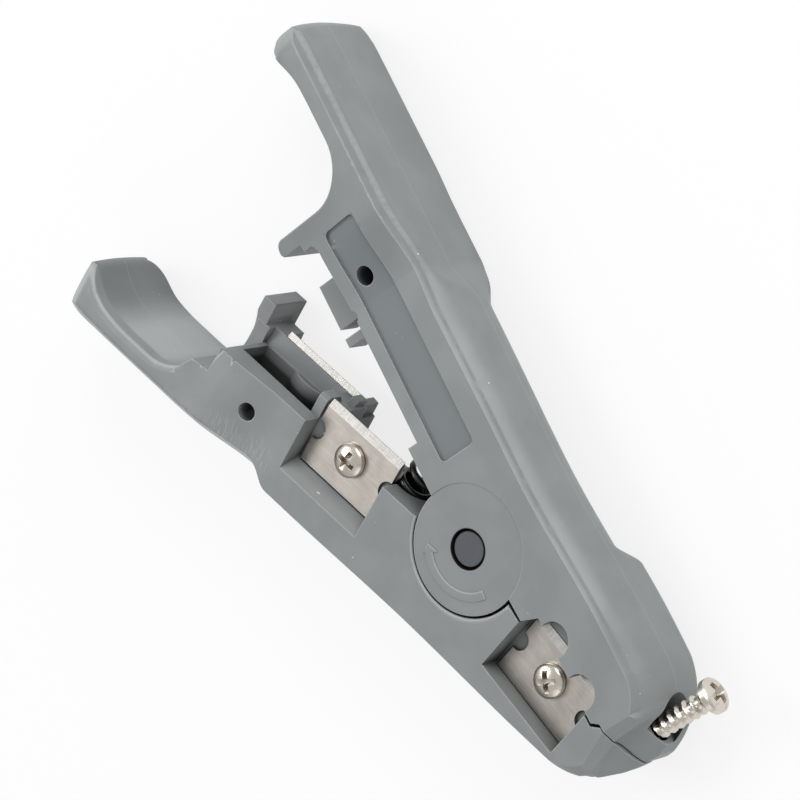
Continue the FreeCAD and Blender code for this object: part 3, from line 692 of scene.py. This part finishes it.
def drawnNormals(piece, name):
    # shades the piece with the drawing's own normals, wherever a corner lies where it was drawn
    weighted = piece.modifiers.new("evenShading", "WEIGHTED_NORMAL")
    weighted.keep_sharp = True
    bpy.context.view_layer.update()
    even = piece.evaluated_get(bpy.context.evaluated_depsgraph_get()).data
    normals = [normal.vector.copy() for normal in even.corner_normals]
    piece.modifiers.remove(weighted)
    drawn, mesh = nodes[name].data, piece.data
    drawnAt = [normal.vector.copy() for normal in drawn.corner_normals]
    tree = KDTree(len(drawn.loops))
    for loop in drawn.loops:
        tree.insert(drawn.vertices[loop.vertex_index].co, loop.index)
    tree.balance()
    for face in mesh.polygons:
        for number in face.loop_indices:
            spot = mesh.vertices[mesh.loops[number].vertex_index].co
            near = [drawnAt[index] for place, index, away in tree.find_range(spot, 0.003 * mm)]
            best = max(near, key=face.normal.dot, default=None)
            if best and best.dot(face.normal) > 0.8:
                normals[number] = best
    mesh.normals_split_custom_set(normals)


def mouldedArm(name):
    arm = arms[name]
    shape = armShape(name)
    flip = Matrix.Diagonal((arm["side"] / mm, 1 / mm, 1 / mm, 1))
    toLocal = flip @ Matrix.Rotation(-math.radians(arm["turn"]), 4, "Z")
    shape.transform(toLocal)
    shape.normal_update()
    if name == "blade_arm":
        softRims(shape)
    softEnd(shape, arm)
    shape.transform(toLocal.inverted())
    shape.normal_update()
    mesh = toMesh(shape, name + "_moulded")
    piece = shaped(name + "_moulded", mesh, arm["body"], [armFinish[name]])
    drawnNormals(piece, name)
    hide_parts(name)
    print(name, "moulded:", len(piece.data.polygons), "faces")


for armName in arms:
    mouldedArm(armName)

bladeScrews = {
    "head": 2.75,
    "high": 1.8,
    "shank": 1.2,
    "crossReach": 1.95,
    "crossWide": 0.48,
    "crossDeep": 1.2,
    "places": {
        "front_blade_screw": (opened(-4.2, 27.1), 11.6, 5.0, False, 20),
        "rear_blade_screw": (opened(-4.7, 44.2), 3.3, 2.5, True, 55),
        "tail_blade_screw": (opened(-8.9, -21.9), 11.6, 5.0, False, 65),
    },
}


def joinShapes(first, second, name):
    # two meshes as one, with each one's own finish numbers
    shape = bmesh.new()
    shape.from_mesh(first)
    shape.from_mesh(second)
    return toMesh(shape, name)


def panHead(radius, high, cross):
    side = [(0, 0), (radius - 0.12, 0), (radius, 0.12), (radius, high * 0.5), (radius - 0.2, high * 0.62)]
    profile = side + dome(radius - 0.2, high * 0.62, high)[1:]
    reach, wide, deep = cross
    return combined(spun(profile, 64), crossCutter(reach, wide, deep, high), "DIFFERENCE")


for screwName, (spot, seat, long, flipped, turn) in bladeScrews["places"].items():
    cross = (bladeScrews["crossReach"], bladeScrews["crossWide"], bladeScrews["crossDeep"])
    head = panHead(bladeScrews["head"], bladeScrews["high"], cross)
    shank = toMesh(threaded(0.9, bladeScrews["shank"], 0.8, -long, 0, 24, 8), "shank")
    mesh = joinShapes(head, shank, screwName)
    lie = Matrix.Rotation(math.radians(turn), 4, "Z")
    if flipped:
        lie = Matrix.Rotation(math.pi, 4, "X") @ lie
    mesh.transform(Matrix.Translation((spot[0] * mm, spot[1] * mm, seat * mm)) @ lie)
    piece = shaped(screwName + "_turned", mesh, "blade_side", [nickelFinish, recessFinish])
    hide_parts(screwName)
print("blade screws cut")

adjuster = {
    "tip": 7.5,
    "along": -37.9,
    "level": 7.5,
    "long": 15.3,
    "root": 1.2,
    "crest": 1.85,
    "pitch": 1.6,
    "head": 2.9,
    "high": 2.0,
    "cross": (2.05, 0.6, 1.4),
    "turn": 20,
}


def adjustingScrew():
    head = panHead(adjuster["head"], adjuster["high"], adjuster["cross"])
    head.transform(Matrix.Translation((0, 0, adjuster["long"] * mm)))
    shank = threaded(adjuster["root"], adjuster["crest"], adjuster["pitch"], 0, adjuster["long"])
    mesh = joinShapes(head, toMesh(shank, "shank"), "adjusting_screw")
    lie = Matrix.Rotation(math.pi / 2, 4, "Y") @ Matrix.Rotation(math.radians(adjuster["turn"]), 4, "Z")
    spot = (adjuster["tip"] * mm, adjuster["along"] * mm, adjuster["level"] * mm)
    mesh.transform(Matrix.Translation(spot) @ lie)
    piece = shaped("adjusting_screw_threaded", mesh, "adjuster", [nickelFinish, recessFinish])
    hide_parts("adjusting_screw")


adjustingScrew()
print("adjusting screw threaded")

spring = {
    "from": opened(-6.3, 19.0),
    "to": (3.0, 15.2),
    "level": 7.5,
    "coil": 2.85,
    "wire": 0.55,
    "turns": 7,
    "gap": 0.65,
    "closedTo": 10.05,
}


def returnSpring():
    # wire wound from the blade arm's pocket to the long arm's seat, with a closed turn at each end
    start, end = Vector((*spring["from"], spring["level"])), Vector((*spring["to"], spring["level"]))
    axis = (end - start).normalized()
    across = Vector((0, 0, 1)).cross(axis)
    long = (end - start).length - 2 * spring["gap"]
    closedTurn = spring["wire"] * 2.04
    openTurns = spring["turns"] - 2
    openPitch = (long - 2 * closedTurn) / openTurns
    perTurn, around = 40, 14
    centres = []
    for step in range(spring["turns"] * perTurn + 1):
        turned = step / perTurn
        height = closedTurn * min(turned, 1) + openPitch * min(max(turned - 1, 0), openTurns)
        height += closedTurn * max(0, turned - 1 - openTurns)
        angle = 2 * math.pi * turned
        side = across * math.cos(angle) + Vector((0, 0, 1)) * math.sin(angle)
        centres.append((start + axis * (spring["gap"] + height) + side * spring["coil"], side))
    shape = bmesh.new()
    rings = []
    for centre, side in centres:
        ring = []
        for spoke in range(around):
            angle = 2 * math.pi * spoke / around
            offset = side * math.cos(angle) + axis * math.sin(angle)
            ring.append(shape.verts.new((centre + offset * spring["wire"]) * mm))
        rings.append(ring)
    stitch(shape, rings, around)
    mesh = toMesh(shape, "return_spring_wound")
    piece = shaped("return_spring_wound", mesh, "long_side", [wireFinish])
    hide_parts("return_spring")
    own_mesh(piece)


returnSpring()
print("spring wound")

arrow = {
    "inner": 6.7,
    "outer": 8.2,
    "tail": 262.3,
    "neck": 157,
    "tip": (-6.21, 4.4),
    "barbs": ((-5.3, 2.3), (-7.95, 3.4)),
    "floor": 14.8,
    "top": 15.08,
    "slope": 0.2,
}


def turnArrow():
    # raised arrow that shows which way to turn the tool round a cable
    outline = []
    there, back = (arrow["tail"], arrow["neck"]), (arrow["neck"], arrow["tail"])
    for radius, ends in ((arrow["outer"], there), (arrow["inner"], back)):
        for step in range(25):
            angle = math.radians(ends[0] + (ends[1] - ends[0]) * step / 24)
            outline.append((radius * math.cos(angle), radius * math.sin(angle)))
        if radius == arrow["outer"]:
            outline += [arrow["barbs"][1], arrow["tip"], arrow["barbs"][0]]
    shape = bmesh.new()
    face = shape.faces.new([shape.verts.new((x * mm, y * mm, arrow["floor"] * mm)) for x, y in outline])
    raised = bmesh.ops.extrude_face_region(shape, geom=[face])
    lifted = [item for item in raised["geom"] if isinstance(item, bmesh.types.BMVert)]
    bmesh.ops.translate(shape, verts=lifted, vec=(0, 0, (arrow["top"] - arrow["floor"]) * mm))
    bmesh.ops.recalc_face_normals(shape, faces=shape.faces[:])
    top = [item for item in shape.faces if item.normal.z > 0.9]
    bmesh.ops.inset_region(shape, faces=top, thickness=arrow["slope"] * mm, depth=0)
    crown = {corner for item in top for corner in item.verts}
    for corner in shape.verts:
        if corner not in crown and corner.co.z > (arrow["top"] - 0.01) * mm:
            corner.co.z -= arrow["slope"] * mm * 0.8
    shaped("turn_arrow", toMesh(shape, "turn_arrow"), "long_side", [armFinish["long_arm"]])


turnArrow()
print("arrow raised")

# ---- camera, floor and light ----
cameraSettings = {
    "at": (367.15, -110.47, 528.06),
    "right": (0.6754, -0.4333, -0.5968),
    "up": (0.4708, 0.8762, -0.1034),
    "lens": 187.2,
}
right = Vector(cameraSettings["right"]).normalized()
up = Vector(cameraSettings["up"])
up = (up - right * up.dot(right)).normalized()
backward = right.cross(up)
camera = bpy.data.objects.new("camera", bpy.data.cameras.new("camera"))
bpy.context.scene.collection.objects.link(camera)
camera.data.lens = cameraSettings["lens"]
camera.data.sensor_width = 36
camera.data.clip_start = 0.01
camera.data.clip_end = 10
turn = Matrix((right, up, backward)).transposed().to_4x4()
camera.matrix_world = Matrix.Translation(Vector(cameraSettings["at"]) * mm) @ turn
bpy.context.scene.camera = camera

studio = {
    "floorAt": -2.5,
    "floorSize": 3.0,
    "lamps": [
        ("key", (-0.35, 0.55, 0.75), 0.55, 3.4),
        ("fill", (0.75, 0.3, 0.45), 0.7, 4.2),
        ("low", (-0.2, -0.75, 0.5), 0.8, 1.0),
    ],
    "ambient": 0.6,
    "floorGlow": 0.8,
}


def paleFloor():
    shape = bmesh.new()
    bmesh.ops.create_grid(shape, x_segments=1, y_segments=1, size=studio["floorSize"] / 2)
    floor = bpy.data.objects.new("floor", toMesh(shape, "floor"))
    bpy.context.scene.collection.objects.link(floor)
    floor.location.z = studio["floorAt"] * mm - 0.00005
    finish = Finish("pale_floor")
    finish.join(finish.shader.inputs["Base Color"], (0.86, 0.86, 0.86, 1))
    finish.join(finish.shader.inputs["Roughness"], 0.9)
    seen = finish.node("LightPath", {}, {}, "Is Camera Ray")
    mirrored = finish.node("LightPath", {}, {}, "Is Glossy Ray")
    through = finish.node("LightPath", {}, {}, "Is Transmission Ray")
    glow = finish.node("Emission", {}, {"Color": (1, 1, 1, 1), "Strength": 1.0})
    surface = Wire(finish, finish.shader.outputs[0])
    share = seen.most(mirrored).most(through) * studio["floorGlow"]
    mixed = finish.node("MixShader", {}, {0: share, 1: surface, 2: glow})
    finish.join(finish.output.inputs["Surface"], mixed)
    floor.data.materials.append(finish.material)


def softLamps():
    for name, place, side, power in studio["lamps"]:
        lamp = bpy.data.objects.new(name, bpy.data.lights.new(name, "AREA"))
        bpy.context.scene.collection.objects.link(lamp)
        lamp.data.shape = "DISK"
        lamp.data.size = side
        lamp.data.energy = power
        lamp.location = place
        lamp.rotation_mode = "QUATERNION"
        lamp.rotation_quaternion = Vector(place).to_track_quat("Z", "Y")


def paleSurround():
    world = bpy.data.worlds.new("surround")
    world.use_nodes = True
    bpy.context.scene.world = world
    tree = world.node_tree
    path = tree.nodes.new("ShaderNodeLightPath")
    either = tree.nodes.new("ShaderNodeMath")
    either.operation = "MAXIMUM"
    tree.links.new(path.outputs["Is Camera Ray"], either.inputs[0])
    tree.links.new(path.outputs["Is Transmission Ray"], either.inputs[1])
    strength = tree.nodes.new("ShaderNodeMapRange")
    strength.inputs["To Min"].default_value = studio["ambient"]
    strength.inputs["To Max"].default_value = 1.0
    tree.links.new(either.outputs[0], strength.inputs["Value"])
    tree.nodes["Background"].inputs["Color"].default_value = (1, 1, 1, 1)
    tree.links.new(strength.outputs[0], tree.nodes["Background"].inputs["Strength"])


paleFloor()
softLamps()
paleSurround()
bpy.context.scene.view_settings.view_transform = "Standard"
print("studio ready")
